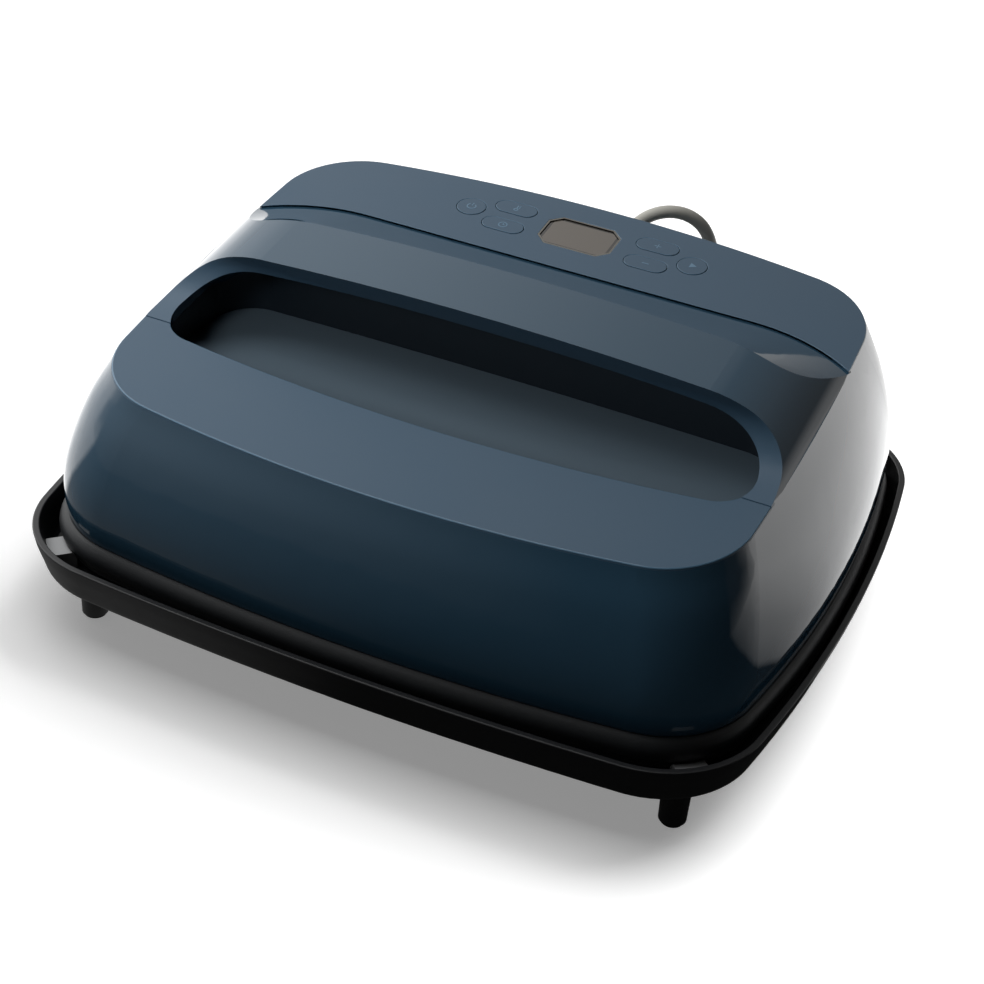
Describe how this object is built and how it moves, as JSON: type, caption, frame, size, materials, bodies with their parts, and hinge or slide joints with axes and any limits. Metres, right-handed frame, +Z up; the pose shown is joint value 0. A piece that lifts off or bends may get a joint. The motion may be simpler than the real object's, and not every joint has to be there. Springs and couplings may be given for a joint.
{
  "type": "handheld heat press",
  "caption": "Hand-held heat press with an arched grip over a finger well, tilted control deck and mains cord, resting in a low four-legged stand.",
  "frame": {"origin": "on the table, under the middle of the stand", "axes": "+X to the right seen from the front, +Y to the rear where the display and cord are, +Z up"},
  "size_m": [0.3568, 0.4358, 0.1597],
  "materials": {
    "tray_plastic": "satin black glass-filled nylon",
    "rubber": "matte",
    "steel": "zinc plated",
    "silicone": "pale grey silicone",
    "shell_gloss": "high-gloss navy",
    "panel_matte": "fine-textured slate navy",
    "well_plastic": "satin charcoal",
    "bezel": "bright",
    "lcd_glass": "tinted clear",
    "lcd_screen": "unlit grey display",
    "circuit_board": "green solder mask",
    "switch_plastic": "black",
    "skirt_plastic": "satin black heat-resistant plastic",
    "component": "moulded electronic parts",
    "plate_aluminium": "polished working face",
    "element_steel": "dull steel",
    "insulation": "pressed mineral fibre",
    "shield_steel": "folded sheet",
    "cord_rubber": "warm grey moulded PVC",
    "cord_sheath": "warm grey cord sheath",
    "blade_brass": "bright brass"
  },
  "bodies": {
    "stand": {"stand_tray": "tray_plastic", "stand_feet": "tray_plastic", "foot_pads": "rubber", "stand_screws": "steel", "rest_pads": "silicone", "corner_locators": "silicone"},
    "press": {"outer_shell": "shell_gloss", "grip_panel": "panel_matte", "control_deck": "panel_matte", "finger_well": "well_plastic", "lcd_bezel": "bezel", "lcd_window": "lcd_glass", "lcd_module": "lcd_screen", "control_board": "circuit_board", "tact_switches": "switch_plastic", "control_board_screws": "steel", "beeper": "switch_plastic", "lower_housing": "skirt_plastic", "housing_screws": "steel", "power_board": "circuit_board", "power_board_screws": "steel", "power_transformer": "component", "heating_relay": "component", "board_capacitors": "component", "heat_plate": "plate_aluminium", "heating_element": "element_steel", "plate_insulation": "insulation", "heat_shield": "shield_steel", "plate_standoffs": "element_steel", "thermal_cutout": "component", "thermistor": "component", "strain_relief": "cord_rubber", "power_cord": "cord_sheath", "cord_coil": "cord_sheath", "cord_tail": "cord_sheath", "mains_plug": "cord_rubber", "plug_blades": "blade_brass"},
    "power_button": {"power_button": "panel_matte"},
    "temperature_button": {"temperature_button": "panel_matte"},
    "timer_button": {"timer_button": "panel_matte"},
    "plus_button": {"plus_button": "panel_matte"},
    "minus_button": {"minus_button": "panel_matte"},
    "start_button": {"start_button": "panel_matte"}
  },
  "joints": [
    {"name": "press_lift", "type": "slide", "parent": "stand", "child": "press", "axis": [0, 0, 1], "range_m": [0, 0.12]},
    {"name": "power_push", "type": "slide", "parent": "press", "child": "power_button", "axis": [0, 0.1133, -0.9936], "range_m": [0, 0.0008], "stiffness_N_per_m": 600},
    {"name": "temperature_push", "type": "slide", "parent": "press", "child": "temperature_button", "axis": [0, 0.1133, -0.9936], "range_m": [0, 0.0008], "stiffness_N_per_m": 600},
    {"name": "timer_push", "type": "slide", "parent": "press", "child": "timer_button", "axis": [0, 0.1133, -0.9936], "range_m": [0, 0.0008], "stiffness_N_per_m": 600},
    {"name": "plus_push", "type": "slide", "parent": "press", "child": "plus_button", "axis": [0, 0.1133, -0.9936], "range_m": [0, 0.0008], "stiffness_N_per_m": 600},
    {"name": "minus_push", "type": "slide", "parent": "press", "child": "minus_button", "axis": [0, 0.1133, -0.9936], "range_m": [0, 0.0008], "stiffness_N_per_m": 600},
    {"name": "start_push", "type": "slide", "parent": "press", "child": "start_button", "axis": [0, 0.1133, -0.9936], "range_m": [0, 0.0008], "stiffness_N_per_m": 600}
  ]
}
